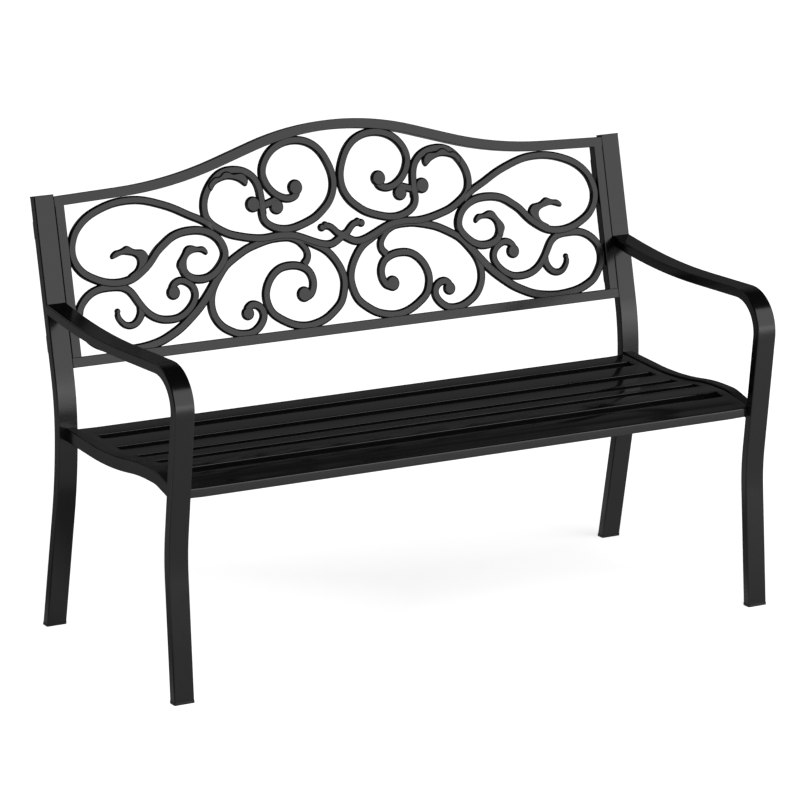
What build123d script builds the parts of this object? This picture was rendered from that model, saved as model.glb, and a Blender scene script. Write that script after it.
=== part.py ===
from build123d import *
from math import cos, sin, tan, radians
import os

# Garden bench of bent steel tube with a cast scrollwork back. Millimetres, +Z up.
# The origin is on the floor under the middle of the bench. The bench faces -Y.
# Left and right are as seen from the front, so left is at -X.

os.makedirs("parts", exist_ok=True)

# Overall width over the legs, and the leg tube
bench_width = 1270.0
leg_width = 40.0
leg_depth = 19.0
leg_corner_radius = 2.5
tube_wall = 1.5

# Front face of the front leg and top face of the armrest, as bend corners (y, z)
front_foot_y = -298.9
front_knee_y = -273.9
front_knee_z = 266.6
front_knee_radius = 400.0
arm_front_y = -309.5
arm_front_z = 614.2
arm_front_radius = 78.0
arm_dip_y = 43.8
arm_dip_z = 600.5
arm_dip_radius = 1520.0
arm_rear_rise_share = 0.126

# Front face of the rear post, as bend corners, and the rake of the back
rear_foot_y = 218.9
rear_knee_z = 300.7
rear_leg_rake = 10.33
rear_knee_radius = 850.0
rear_bend_radius = 480.0
back_foot_y = 185.2
back_foot_z = 522.0
back_rake = 14.3
post_top = 300.0

# Foot glides and post caps
glide_height = 5.0
glide_flare = 0.4
plug_length = 20.0
plug_clearance = 0.15
cap_thickness = 2.5
cap_flare = 0.3
cap_plug_length = 15.0

# Seat rails: top face as bend corners, from the rear post to the front leg
rail_width = 20.0
rail_height = 25.0
rail_corner_radius = 2.0
rail_inset = 15.0
rail_rear_z = 396.2
rail_dip_y = -8.2
rail_dip_z = 388.0
rail_dip_radius = 765.0
rail_crest_rear_y = -128.1
rail_crest_z = 405.4
rail_crest_rear_radius = 500.0
rail_crest_front_y = -197.0
rail_crest_front_radius = 110.0
rail_front_z = 387.3

# Seat panel: one sheet that follows the rails, a little below their tops
sheet = 2.0
seat_drop = 3.0
seat_rear_gap = 1.7
slot_width = 25.0
slot_pitch = 76.5
slot_first_y = 105.4
slot_count = 5
slot_end_margin = 20.0
slot_corner_radius = 3.0
slot_flange = 10.0
side_flange = 19.0
nose_setback = 14.0
nose_gap = 1.0
nose_top_z = 388.0
nose_radius = 4.0
lip_height = 17.0

# Stiffening tubes under the seat panel
stiffener_width = 20.0
stiffener_height = 15.0
stiffener_gap = 0.3

# Back frame: square tube between the posts, with an arched top rail
frame_tube = 19.0
frame_corner_radius = 1.5
crown_up = 377.3
crown_radius = 597.0
crown_slope = 16.7
crown_slope_run = 85.0
shoulder_radius = 817.0
shoulder_slope = 2.0

# Scrollwork casting, in the middle of the frame's depth
casting_thickness = 9.0
bar_width = 17.0

# The scrollwork is drawn on a grid of pattern cells: so many across half the opening, so many up a stile
cells_across = 5.76
cells_up = 2.795

# Plates behind the posts that carry the back frame, and the bolts
plate_margin = 1.5
plate_height = 36.0
plate_thickness = 3.0
plate_corner_radius = 4.0
upper_plate_up = 240.0
lower_plate_up = 30.0
bolt_diameter = 6.0
bolt_clearance = 0.25
bolt_head_diameter = 11.0
bolt_head_height = 3.3
bolt_head_taper = 25.0
bolt_reach = 9.0
hex_socket = 4.0
hex_socket_depth = 2.0
washer_diameter = 13.0
washer_thickness = 1.2
rivet_nut_diameter = 9.0
rivet_nut_length = 10.0
rivet_nut_bulge = 11.5
rivet_nut_bulge_length = 3.0
seat_bolt_drop = 10.0
seat_bolt_ys = (-200.0, -30.0, 105.0)

# One length by which every cutting body runs past what it cuts
overrun = 30.0

# Places worked out from the sizes above
leg_x = (bench_width - leg_width) / 2
post_inner_x = bench_width / 2 - leg_width
rail_x = bench_width / 2 - rail_inset - rail_width / 2
seat_half_width = rail_x - rail_width / 2
nose_half_width = post_inner_x - nose_gap
rake = radians(back_rake)
back_plane = Plane(origin=(0, back_foot_y, back_foot_z), x_dir=(1, 0, 0), z_dir=(0, -cos(rake), sin(rake)))
upright_y = rear_foot_y - rear_knee_z * tan(radians(rear_leg_rake))
bend_z = back_foot_z - (back_foot_y - upright_y) / tan(rake)
opening_half_width = post_inner_x - frame_tube


def on_back(up):
    """Place (y, z) on the front face of the back, at a length up its slope."""
    return (back_foot_y + up * sin(rake), back_foot_z + up * cos(rake))


def pair(vector):
    """The two plane coordinates of a vector."""
    return (vector.X, vector.Y)


def beyond(near, far, length):
    """Point on the line from near to far, continued past far by a length."""
    run = (Vector(*far) - Vector(*near)).normalized()
    return pair(Vector(*far) + run * length)


# Face lines of the tubes, as (y, z) corners, with a bend radius for each corner between the ends
front_foot = (front_foot_y, 0)
front_knee = (front_knee_y, front_knee_z)
arm_front = (arm_front_y, arm_front_z)
arm_dip = (arm_dip_y, arm_dip_z)
arm_run = upright_y + leg_depth / 2 - arm_dip_y + (arm_dip_z - bend_z) * tan(rake)
arm_rear = (arm_dip_y + arm_run, arm_dip_z + arm_run * arm_rear_rise_share)
front_line = [beyond(front_knee, front_foot, overrun), front_knee, arm_front, arm_dip, arm_rear]
front_radii = [front_knee_radius, arm_front_radius, arm_dip_radius]

rear_foot = (rear_foot_y, 0)
rear_knee = (upright_y, rear_knee_z)
rear_bend = (upright_y, bend_z)
rear_line = [beyond(rear_knee, rear_foot, overrun), rear_knee, rear_bend, on_back(post_top)]
rear_radii = [rear_knee_radius, rear_bend_radius]

lean_share = (arm_front_y - front_knee_y) / (arm_front_z - front_knee_z)
leg_y_at_rail = front_knee_y + (rail_front_z - front_knee_z) * lean_share
rail_front = (leg_y_at_rail + leg_depth, rail_front_z)
rail_crest_front = (rail_crest_front_y, rail_crest_z)
rail_crest_rear = (rail_crest_rear_y, rail_crest_z)
rail_dip = (rail_dip_y, rail_dip_z)
rail_rear = (upright_y, rail_rear_z)
rail_line = [
    beyond(rail_crest_front, rail_front, leg_depth / 2),
    rail_crest_front,
    rail_crest_rear,
    rail_dip,
    beyond(rail_dip, rail_rear, leg_depth / 2),
]
rail_radii = [rail_crest_front_radius, rail_crest_rear_radius, rail_dip_radius]

# Centre line of the top rail's right half: crown arc, slope, reversed arc, then nearly level to the post
crown_turn = radians(crown_slope)
end_turn = radians(shoulder_slope)
slope_start = (crown_radius * sin(crown_turn), crown_up - crown_radius * (1 - cos(crown_turn)))
shoulder_start = (
    slope_start[0] + crown_slope_run * cos(crown_turn),
    slope_start[1] - crown_slope_run * sin(crown_turn),
)
shoulder_end = (
    shoulder_start[0] + shoulder_radius * (sin(crown_turn) - sin(end_turn)),
    shoulder_start[1] - shoulder_radius * (cos(end_turn) - cos(crown_turn)),
)
stile_top = shoulder_end[1] - (post_inner_x - shoulder_end[0]) * tan(end_turn)
opening_height = stile_top - frame_tube / 2


def bent_line(corners, radii):
    """Straight runs joined by tangent arcs, with one radius for each corner between the ends."""
    start = Vector(*corners[0])
    for here, following, radius in zip(corners[1:], corners[2:], radii):
        corner = Vector(*here)
        run_in = (corner - start).normalized()
        run_out = (Vector(*following) - corner).normalized()
        half_turn = radians(run_in.get_angle(run_out)) / 2
        arc_start = corner - run_in * radius * tan(half_turn)
        arc_end = corner + run_out * radius * tan(half_turn)
        arc_middle = corner + (run_out - run_in).normalized() * radius * (1 / cos(half_turn) - 1)
        Line(pair(start), pair(arc_start))
        ThreePointArc(pair(arc_start), pair(arc_middle), pair(arc_end))
        start = arc_end
    Line(pair(start), corners[-1])


def sweep_face_tube(line, radii, middle_x, width, depth, corner, wall):
    """Sweep a rectangular tube whose front or top face follows a (y, z) line. No wall makes it solid."""
    with BuildLine(Plane.YZ.offset(middle_x)) as run:
        bent_line(line, radii)
    path = run.line.wires()[0]
    start = Plane(origin=path @ 0, x_dir=(1, 0, 0), z_dir=path % 0)
    with BuildSketch(start) as outside:
        with Locations((0, depth / 2)):
            RectangleRounded(width, depth, corner)
    sweep(outside.sketch, path=path)
    if wall:
        with BuildSketch(start) as bore:
            with Locations((0, depth / 2)):
                Rectangle(width - 2 * wall, depth - 2 * wall)
        sweep(bore.sketch, path=path, mode=Mode.SUBTRACT)


def sweep_top_rail(wall):
    """Sweep the arched top rail about its centre line in the middle of the frame's depth."""
    middle = back_plane.offset(-frame_tube / 2)
    with BuildLine(middle) as run:
        JernArc((0, crown_up), (1, 0), crown_radius, -crown_slope)
        Line(slope_start, shoulder_start)
        downhill = (cos(crown_turn), -sin(crown_turn))
        JernArc(shoulder_start, downhill, shoulder_radius, crown_slope - shoulder_slope)
        PolarLine(shoulder_end, post_inner_x - shoulder_end[0] + overrun, -shoulder_slope)
        mirror(about=Plane.YZ)
    path = run.line.wires()[0]
    with BuildSketch(Plane(origin=path @ 0, x_dir=middle.z_dir, z_dir=path % 0)) as section:
        RectangleRounded(frame_tube, frame_tube, frame_corner_radius)
        if wall:
            bore = frame_tube - 2 * wall
            RectangleRounded(bore, bore, frame_corner_radius / 2, mode=Mode.SUBTRACT)
    sweep(section.sketch, path=path)
    split(bisect_by=Plane.YZ.offset(post_inner_x), keep=Keep.BOTTOM)
    split(bisect_by=Plane.YZ.offset(-post_inner_x), keep=Keep.TOP)


# Solid fillings of the tubes, used only to cut what butts against them
with BuildPart() as top_rail_fill:
    sweep_top_rail(0)
leg_fill = {}
post_fill = {}
for side in (-1, 1):
    with BuildPart() as filling:
        sweep_face_tube(front_line, front_radii, side * leg_x, leg_width, leg_depth, leg_corner_radius, 0)
    leg_fill[side] = filling.part
    with BuildPart() as filling:
        sweep_face_tube(rear_line, rear_radii, side * leg_x, leg_width, leg_depth, leg_corner_radius, 0)
    post_fill[side] = filling.part

# Bolt places on the back: on the post and on the stile, at each plate
plate_plane = back_plane.offset(-frame_tube)
stile_x = post_inner_x - frame_tube / 2
back_bolt_places = [
    (side * across, up)
    for side in (-1, 1)
    for across in (stile_x, leg_x)
    for up in (lower_plate_up, upper_plate_up)
]


def rail_top_z(y):
    """Height of the seat rail's top line at y, on the straight stretches and chords between bends."""
    corners = [rail_front, rail_crest_front, rail_crest_rear, rail_dip, rail_rear]
    for (y0, z0), (y1, z1) in zip(corners, corners[1:]):
        if y0 <= y <= y1:
            return z0 + (z1 - z0) * (y - y0) / (y1 - y0)
    return rail_crest_z


seat_bolt_places = [(y, rail_top_z(y) - seat_drop - seat_bolt_drop) for y in seat_bolt_ys]


def cut_rivet_nut_holes(plane, places):
    """Cut the round holes in one tube wall that the rivet nuts fill."""
    with BuildSketch(plane) as holes:
        with Locations(*places):
            Circle(rivet_nut_diameter / 2)
    extrude(holes.sketch, amount=tube_wall, mode=Mode.SUBTRACT)


def rail_inner_plane(side):
    """Plane on the inner face of a seat rail, looking into the rail."""
    return Plane(origin=(side * seat_half_width, 0, 0), x_dir=(0, 1, 0), z_dir=(side, 0, 0))


def side_name(side):
    """Left or right, as seen from the front."""
    return "left" if side < 0 else "right"


# Front legs with their armrests, one bent tube each
for side in (-1, 1):
    with BuildPart() as front_leg:
        sweep_face_tube(
            front_line, front_radii, side * leg_x, leg_width, leg_depth, leg_corner_radius, tube_wall
        )
        split(bisect_by=Plane.XY.offset(glide_height), keep=Keep.TOP)
        add(post_fill[side], mode=Mode.SUBTRACT)
    front_leg.part.label = f"{side_name(side)}_front_leg_and_arm"
    export_step(front_leg.part, f"parts/{side_name(side)}_front_leg_and_arm.step")

# Rear posts: rear leg and back upright in one bent tube each
for side in (-1, 1):
    with BuildPart() as rear_post:
        sweep_face_tube(
            rear_line, rear_radii, side * leg_x, leg_width, leg_depth, leg_corner_radius, tube_wall
        )
        split(bisect_by=Plane.XY.offset(glide_height), keep=Keep.TOP)
        post_places = [place for place in back_bolt_places if place[0] * side > post_inner_x]
        cut_rivet_nut_holes(plate_plane, post_places)
    rear_post.part.label = f"{side_name(side)}_rear_post"
    export_step(rear_post.part, f"parts/{side_name(side)}_rear_post.step")

# Foot glides: a thin plastic foot with a plug up the tube, along the leg's own slope
for end_name, knee, foot in (("front", front_knee, front_foot), ("rear", rear_knee, rear_foot)):
    slope_y = (knee[0] - foot[0]) / knee[1]
    level_depth = leg_depth * (1 + slope_y**2) ** 0.5
    plug_margin = 2 * (tube_wall + plug_clearance)
    for side in (-1, 1):
        with BuildPart() as glide:
            with BuildSketch():
                with Locations((side * leg_x, foot[0] + level_depth / 2)):
                    RectangleRounded(
                        leg_width + 2 * glide_flare, level_depth + 2 * glide_flare, leg_corner_radius
                    )
            extrude(amount=glide_height * (1 + slope_y**2) ** 0.5, dir=(0, slope_y, 1))
            with BuildSketch():
                with Locations((side * leg_x, foot[0] + level_depth / 2)):
                    Rectangle(leg_width - plug_margin, level_depth - plug_margin)
            extrude(amount=plug_length, dir=(0, slope_y, 1))
        glide.part.label = f"{side_name(side)}_{end_name}_foot_glide"
        export_step(glide.part, f"parts/{side_name(side)}_{end_name}_foot_glide.step")

# Post caps: a flat cover with a plug down the tube
cap_y, cap_z = on_back(post_top)
cap_plane = Plane(origin=(0, cap_y, cap_z), x_dir=(1, 0, 0), z_dir=(0, sin(rake), cos(rake)))
for side in (-1, 1):
    with BuildPart() as cap:
        with BuildSketch(cap_plane):
            with Locations((side * leg_x, leg_depth / 2)):
                RectangleRounded(leg_width + 2 * cap_flare, leg_depth + 2 * cap_flare, leg_corner_radius)
        extrude(amount=cap_thickness)
        with BuildSketch(cap_plane):
            with Locations((side * leg_x, leg_depth / 2)):
                plug_margin = 2 * (tube_wall + plug_clearance)
                Rectangle(leg_width - plug_margin, leg_depth - plug_margin)
        extrude(amount=-cap_plug_length)
    cap.part.label = f"{side_name(side)}_post_cap"
    export_step(cap.part, f"parts/{side_name(side)}_post_cap.step")

# Seat rails: curved tubes from the front leg to the rear post
for side in (-1, 1):
    with BuildPart() as seat_rail:
        sweep_face_tube(
            rail_line, rail_radii, side * rail_x, rail_width, rail_height, rail_corner_radius, tube_wall
        )
        add(leg_fill[side], mode=Mode.SUBTRACT)
        add(post_fill[side], mode=Mode.SUBTRACT)
        cut_rivet_nut_holes(rail_inner_plane(side), [(y, side * z) for y, z in seat_bolt_places])
    seat_rail.part.label = f"{side_name(side)}_seat_rail"
    export_step(seat_rail.part, f"parts/{side_name(side)}_seat_rail.step")

# Seat panel. The sheet line is the rails' top line, lowered, and it ends at the nose above the lip.
nose_y = leg_y_at_rail + nose_setback
seat_rear_y = upright_y - seat_rear_gap
flange_foot_z = nose_top_z - side_flange
notch_y = front_knee_y + (flange_foot_z - front_knee_z) * lean_share + leg_depth + nose_gap
seat_line = [
    (seat_rear_y, rail_rear_z - seat_drop),
    (rail_dip_y, rail_dip_z - seat_drop),
    (rail_crest_rear_y, rail_crest_z - seat_drop),
    (rail_crest_front_y, rail_crest_z - seat_drop),
    (nose_y, nose_top_z),
]
seat_radii = [rail_dip_radius, rail_crest_rear_radius, rail_crest_front_radius]
slot_middles = [slot_first_y - index * slot_pitch for index in range(slot_count)]


def seat_band(upper_drop, lower_drop):
    """Side view of the band between the sheet line lowered by one length and by another."""
    with BuildLine() as outline:
        upper = [(y, z - upper_drop) for y, z in seat_line]
        lower = [(y, z - lower_drop) for y, z in seat_line]
        bent_line(upper, seat_radii)
        bent_line(lower, seat_radii)
        Line(upper[0], lower[0])
        Line(upper[-1], lower[-1])
    make_face(outline.edges())


def slot_plan(grow, mode=Mode.ADD):
    """Plan of the slots, widened by a length all round."""
    slot_length = 2 * (seat_half_width - slot_end_margin)
    with Locations(*[(0, middle) for middle in slot_middles]):
        RectangleRounded(
            slot_length + 2 * grow, slot_width + 2 * grow, slot_corner_radius + grow, mode=mode
        )


# The turned-down edges of the slots and of the rear, cut off to follow the sheet line
with BuildPart() as seat_edges:
    with BuildSketch():
        slot_plan(sheet)
        slot_plan(0, Mode.SUBTRACT)
        with Locations((0, seat_rear_y - sheet / 2)):
            Rectangle(2 * seat_half_width, sheet)
    extrude(amount=rail_crest_z)
    with BuildSketch(Plane.YZ):
        seat_band(0, slot_flange)
    extrude(amount=seat_half_width, both=True, mode=Mode.INTERSECT)

with BuildPart() as seat_panel:
    with BuildSketch(Plane.YZ):
        seat_band(0, sheet)
    extrude(amount=seat_half_width, both=True)
    for side in (-1, 1):
        with BuildSketch(Plane.YZ.offset(side * seat_half_width)):
            seat_band(0, side_flange)
        extrude(amount=-side * sheet)
    add(seat_edges.part)
    with BuildSketch():
        slot_plan(0)
    extrude(amount=rail_crest_z, mode=Mode.SUBTRACT)
    for side in (-1, 1):
        with BuildSketch(Plane.XY):
            with Locations((side * (nose_half_width + overrun / 2), notch_y - overrun / 2)):
                Rectangle(overrun, overrun)
        extrude(amount=rail_crest_z, mode=Mode.SUBTRACT)
        with BuildSketch(rail_inner_plane(side)):
            with Locations(*[(y, side * z) for y, z in seat_bolt_places]):
                Circle(bolt_diameter / 2 + bolt_clearance)
        extrude(amount=-sheet, mode=Mode.SUBTRACT)
    with BuildSketch(Plane.XY.offset(nose_top_z - lip_height)):
        with Locations((0, nose_y + sheet / 2)):
            Rectangle(2 * nose_half_width, sheet)
    extrude(amount=lip_height)
    nose_edge = edges().filter_by(Axis.X).group_by(Axis.Y)[0].sort_by(Axis.Z)[-1]
    fillet(nose_edge, nose_radius)
seat_panel.part.label = "seat_panel"
export_step(seat_panel.part, "parts/seat_panel.step")

# Stiffening tubes under two of the slats, welded to the side flanges
crest_slat_y = slot_middles[-1] + slot_pitch / 2
rear_slat_y = (slot_middles[0] + slot_width / 2 + seat_rear_y) / 2
for stiffener_name, middle_y in (("front", crest_slat_y), ("rear", rear_slat_y)):
    with BuildPart() as stiffener:
        top_z = rail_top_z(middle_y - stiffener_width / 2) - seat_drop - sheet - stiffener_gap
        with BuildSketch(Plane.YZ):
            with Locations((middle_y, top_z - stiffener_height / 2)):
                RectangleRounded(stiffener_width, stiffener_height, rail_corner_radius)
                RectangleRounded(
                    stiffener_width - 2 * tube_wall,
                    stiffener_height - 2 * tube_wall,
                    rail_corner_radius - tube_wall,
                    mode=Mode.SUBTRACT,
                )
        extrude(amount=seat_half_width - sheet, both=True)
    stiffener.part.label = f"{stiffener_name}_seat_stiffener"
    export_step(stiffener.part, f"parts/{stiffener_name}_seat_stiffener.step")

# Back frame: top rail, bottom rail, and stiles between them
with BuildPart() as back_top_rail:
    sweep_top_rail(tube_wall)
back_top_rail.part.label = "back_top_rail"
export_step(back_top_rail.part, "parts/back_top_rail.step")

with BuildPart() as back_bottom_rail:
    with BuildSketch(Plane(origin=(-post_inner_x, *on_back(0)), x_dir=back_plane.z_dir, z_dir=(1, 0, 0))):
        with Locations((-frame_tube / 2, frame_tube / 2)):
            RectangleRounded(frame_tube, frame_tube, frame_corner_radius)
            bore = frame_tube - 2 * tube_wall
            RectangleRounded(bore, bore, frame_corner_radius / 2, mode=Mode.SUBTRACT)
    extrude(amount=2 * post_inner_x)
back_bottom_rail.part.label = "back_bottom_rail"
export_step(back_bottom_rail.part, "parts/back_bottom_rail.step")

stile_plane = Plane(origin=(0, *on_back(0)), x_dir=(1, 0, 0), z_dir=(0, sin(rake), cos(rake)))
for side in (-1, 1):
    with BuildPart() as stile:
        with BuildSketch(stile_plane):
            with Locations((side * stile_x, frame_tube / 2)):
                RectangleRounded(frame_tube, frame_tube, frame_corner_radius)
                bore = frame_tube - 2 * tube_wall
                RectangleRounded(bore, bore, frame_corner_radius / 2, mode=Mode.SUBTRACT)
        extrude(amount=stile_top)
        add(top_rail_fill.part, mode=Mode.SUBTRACT)
        stile_places = [place for place in back_bolt_places if abs(place[0]) < post_inner_x]
        cut_rivet_nut_holes(plate_plane, stile_places)
    stile.part.label = f"{side_name(side)}_back_stile"
    export_step(stile.part, f"parts/{side_name(side)}_back_stile.step")

# Scrollwork casting. Points are (across, up) in pattern cells from the middle of the bottom rail's top,
# for the right half. The left half mirrors it. A bar has its start and end width as shares of bar_width.
crown_scroll_shares = [
    (0.880, 2.620), (0.905, 2.530), (0.980, 2.482), (1.075, 2.466), (1.200, 2.492), (1.340, 2.570),
    (1.450, 2.675), (1.532, 2.815), (1.573, 2.970), (1.548, 3.120), (1.465, 3.270), (1.330, 3.405),
    (1.120, 3.510), (0.890, 3.550), (0.660, 3.525), (0.460, 3.440), (0.285, 3.280), (0.165, 3.070),
    (0.095, 2.860), (0.083, 2.680), (0.115, 2.520), (0.190, 2.370), (0.295, 2.247), (0.400, 2.160),
    (0.500, 2.088), (0.790, 1.967), (1.000, 1.912), (1.180, 1.896), (1.380, 1.930), (1.540, 2.005),
    (1.632, 2.100), (1.663, 2.220), (1.650, 2.400),
]
shoulder_scroll_shares = [
    (1.648, 2.220), (1.652, 2.420), (1.662, 2.600), (1.680, 2.730), (1.740, 2.880), (1.845, 2.995),
    (2.000, 3.078), (2.200, 3.113), (2.400, 3.095), (2.530, 3.035), (2.650, 2.935), (2.765, 2.790),
    (2.842, 2.640), (2.874, 2.500), (2.873, 2.380), (2.830, 2.240), (2.720, 2.115), (2.590, 2.025),
    (2.400, 1.925), (2.200, 1.863), (2.000, 1.815), (1.800, 1.783), (1.650, 1.775), (1.500, 1.785),
    (1.200, 1.785), (1.000, 1.745), (0.800, 1.668), (0.600, 1.585), (0.400, 1.525), (0.250, 1.525),
    (0.120, 1.585), (-0.020, 1.670),
]
heart_scroll_shares = [
    (0.930, 0.580), (0.830, 0.625), (0.768, 0.720), (0.743, 0.850), (0.770, 0.980), (0.840, 1.085),
    (0.950, 1.155), (1.080, 1.195), (1.220, 1.205), (1.400, 1.180), (1.550, 1.098), (1.660, 0.985),
    (1.740, 0.845), (1.778, 0.670), (1.750, 0.500), (1.680, 0.360), (1.540, 0.240), (1.350, 0.130),
    (1.150, 0.060), (0.950, 0.038), (0.750, 0.065), (0.540, 0.135), (0.345, 0.260), (0.190, 0.405),
    (0.105, 0.600), (0.073, 0.800), (0.100, 0.970), (0.170, 1.130), (0.270, 1.280), (0.420, 1.430),
    (0.600, 1.535), (0.800, 1.635), (1.000, 1.705), (1.200, 1.743), (1.500, 1.747),
]
side_scroll_shares = [
    (1.000, 1.705), (1.200, 1.743), (1.500, 1.747), (1.700, 1.715), (1.900, 1.665), (2.050, 1.620),
    (2.200, 1.553), (2.400, 1.445), (2.550, 1.345), (2.700, 1.185), (2.830, 1.015), (2.910, 0.855),
    (2.945, 0.680), (2.930, 0.500), (2.865, 0.345), (2.755, 0.215), (2.600, 0.115), (2.450, 0.052),
    (2.300, 0.028), (2.140, 0.045), (2.010, 0.118), (1.910, 0.230), (1.872, 0.350), (1.915, 0.475),
    (2.020, 0.550), (2.130, 0.550), (2.205, 0.480),
]
hook_shares = [
    (1.120, 1.700), (0.980, 1.640), (0.870, 1.540), (0.800, 1.415), (0.815, 1.300), (0.900, 1.205),
]
tendril_shares = [
    (-0.020, 1.665), (0.100, 1.710), (0.180, 1.790), (0.270, 1.855), (0.365, 1.865), (0.430, 1.830),
]
bow_shares = [(1.300, 2.490), (1.418, 2.447), (1.542, 2.409), (1.686, 2.385), (1.840, 2.425)]
outer_arm_shares = [
    (2.720, 2.065), (2.850, 2.175), (3.000, 2.265), (3.200, 2.360), (3.400, 2.465), (3.600, 2.560),
    (3.800, 2.635), (4.000, 2.700), (4.200, 2.745), (4.450, 2.762), (4.700, 2.745), (4.900, 2.702),
    (5.100, 2.635), (5.300, 2.540), (5.470, 2.410), (5.580, 2.280), (5.655, 2.120), (5.690, 1.950),
    (5.670, 1.780),
]
outer_ring_shares = [
    (5.655, 2.120), (5.690, 1.950), (5.670, 1.780), (5.600, 1.630), (5.500, 1.515), (5.330, 1.405),
    (5.120, 1.315), (4.900, 1.270), (4.680, 1.275), (4.500, 1.320), (4.330, 1.415), (4.180, 1.525),
    (4.050, 1.655), (3.950, 1.765), (3.800, 1.880), (3.620, 1.995), (3.420, 2.058), (3.200, 2.075),
    (3.000, 2.055), (2.820, 1.990), (2.670, 1.875), (2.580, 1.730), (2.552, 1.580), (2.600, 1.450),
    (2.690, 1.340), (2.820, 1.230), (2.970, 1.165), (3.150, 1.155), (3.300, 1.193), (3.410, 1.280),
    (3.460, 1.400),
]
lower_arm_shares = [
    (3.745, 0.990), (3.685, 1.105), (3.550, 1.170), (3.420, 1.137), (3.320, 1.060), (3.262, 0.950),
    (3.265, 0.840), (3.320, 0.730), (3.410, 0.630), (3.520, 0.550), (3.660, 0.490), (3.820, 0.475),
    (3.985, 0.492), (4.140, 0.548), (4.275, 0.645), (4.395, 0.785), (4.485, 0.925), (4.575, 1.060),
    (4.690, 1.150), (4.820, 1.190), (5.000, 1.202), (5.200, 1.193), (5.400, 1.128), (5.550, 1.015),
    (5.650, 0.880), (5.690, 0.720), (5.670, 0.550),
]
lower_ring_shares = [
    (5.650, 0.880), (5.690, 0.720), (5.670, 0.550), (5.580, 0.385), (5.470, 0.250), (5.300, 0.148),
    (5.100, 0.075), (4.900, 0.038), (4.650, 0.018), (4.400, 0.032), (4.200, 0.065), (4.000, 0.122),
    (3.850, 0.187), (3.650, 0.290), (3.450, 0.430), (3.250, 0.590), (3.080, 0.755), (2.960, 0.890),
    (2.860, 1.010), (2.780, 1.110),
]
sprig_shares = [
    (4.400, 0.800), (4.412, 0.668), (4.482, 0.545), (4.570, 0.475), (4.670, 0.455), (4.770, 0.482),
    (4.850, 0.560), (4.895, 0.650), (4.890, 0.740),
]
crown_tie_shares = [(0, 2.470), (0, 2.745), (0, 3.020)]
heart_tie_shares = [(0, 0.540), (0, 0.755), (0, 0.970)]
bars = [
    (crown_tie_shares, 0.6, 0.6),
    (heart_tie_shares, 0.6, 0.6),
    (crown_scroll_shares, 1.0, 1.0),
    (shoulder_scroll_shares, 1.0, 1.0),
    (heart_scroll_shares, 1.0, 1.0),
    (side_scroll_shares, 1.0, 1.0),
    (hook_shares, 1.0, 1.0),
    (tendril_shares, 0.95, 0.85),
    (bow_shares, 1.0, 1.0),
    (outer_arm_shares, 0.93, 1.0),
    (outer_ring_shares, 1.0, 1.05),
    (lower_arm_shares, 0.93, 1.0),
    (lower_ring_shares, 1.0, 1.12),
    (sprig_shares, 1.1, 0.65),
]

# Round bosses: (across, up, radius as a share of bar_width)
boss_shares = [
    (0.905, 2.660, 0.92),
    (0.965, 0.635, 0.90),
    (2.200, 0.405, 0.78),
    (3.705, 0.965, 0.83),
    (1.840, 2.430, 0.92),
    (1.345, 2.335, 0.88),
    (0.430, 1.850, 0.46),
    (4.890, 0.745, 0.34),
]

# Leaf outlines, in pattern cells
shoulder_leaf_shares = [
    (1.900, 2.900), (1.935, 2.985), (2.000, 3.040), (2.100, 3.055), (2.200, 3.050), (2.280, 3.090),
    (2.360, 3.105), (2.430, 3.080), (2.500, 3.025), (2.580, 3.025), (2.680, 2.970), (2.760, 2.850),
    (2.700, 2.760), (2.620, 2.840), (2.500, 2.910), (2.350, 2.940), (2.200, 2.920), (2.080, 2.865),
    (2.000, 2.800), (1.960, 2.780), (1.925, 2.810),
]
outer_leaf_shares = [
    (3.365, 1.450), (3.330, 1.570), (3.250, 1.635), (3.150, 1.655), (3.050, 1.645), (2.990, 1.610),
    (2.940, 1.585), (2.900, 1.620), (2.920, 1.700), (3.000, 1.765), (3.110, 1.768), (3.200, 1.800),
    (3.280, 1.810), (3.370, 1.775), (3.430, 1.690), (3.500, 1.600), (3.560, 1.520), (3.580, 1.440),
    (3.540, 1.340), (3.505, 1.270), (3.400, 1.280),
]
branch_leaf_shares = [
    (4.140, 1.710), (4.170, 1.770), (4.230, 1.825), (4.320, 1.845), (4.430, 1.865), (4.500, 1.910),
    (4.570, 1.935), (4.640, 1.910), (4.720, 1.880), (4.810, 1.868), (4.880, 1.825), (4.920, 1.760),
    (4.900, 1.715), (4.850, 1.715), (4.760, 1.745), (4.660, 1.767), (4.550, 1.750), (4.450, 1.720),
    (4.392, 1.670), (4.380, 1.600), (4.410, 1.520), (4.490, 1.448), (4.620, 1.390), (4.600, 1.330),
    (4.400, 1.400), (4.200, 1.560),
]
leaves = [shoulder_leaf_shares, outer_leaf_shares, branch_leaf_shares]

cell_wide = opening_half_width / cells_across
cell_high = opening_height / cells_up


def on_grid(shares):
    """Places in the plane of the back for points given in pattern cells."""
    return [Vector(across * cell_wide, up * cell_high) for across, up in shares]


def bar_face(shares, start_share, end_share):
    """Face of a bar: a smooth centre line through the points, with half its width laid off on each side."""
    centre = Spline(*on_grid(shares), mode=Mode.PRIVATE)
    steps = 2 * len(shares)
    edges_of_bar = ([], [])
    for step in range(steps + 1):
        along = step / steps
        half_width = bar_width * (start_share + (end_share - start_share) * along) / 2
        sideways = (centre % along).rotate(Axis.Z, 90) * half_width
        edges_of_bar[0].append(centre @ along + sideways)
        edges_of_bar[1].append(centre @ along - sideways)
    with BuildLine() as outline:
        for places in edges_of_bar:
            Spline(*places)
        Line(edges_of_bar[0][0], edges_of_bar[1][0])
        Line(edges_of_bar[0][-1], edges_of_bar[1][-1])
    make_face(outline.edges())


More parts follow.
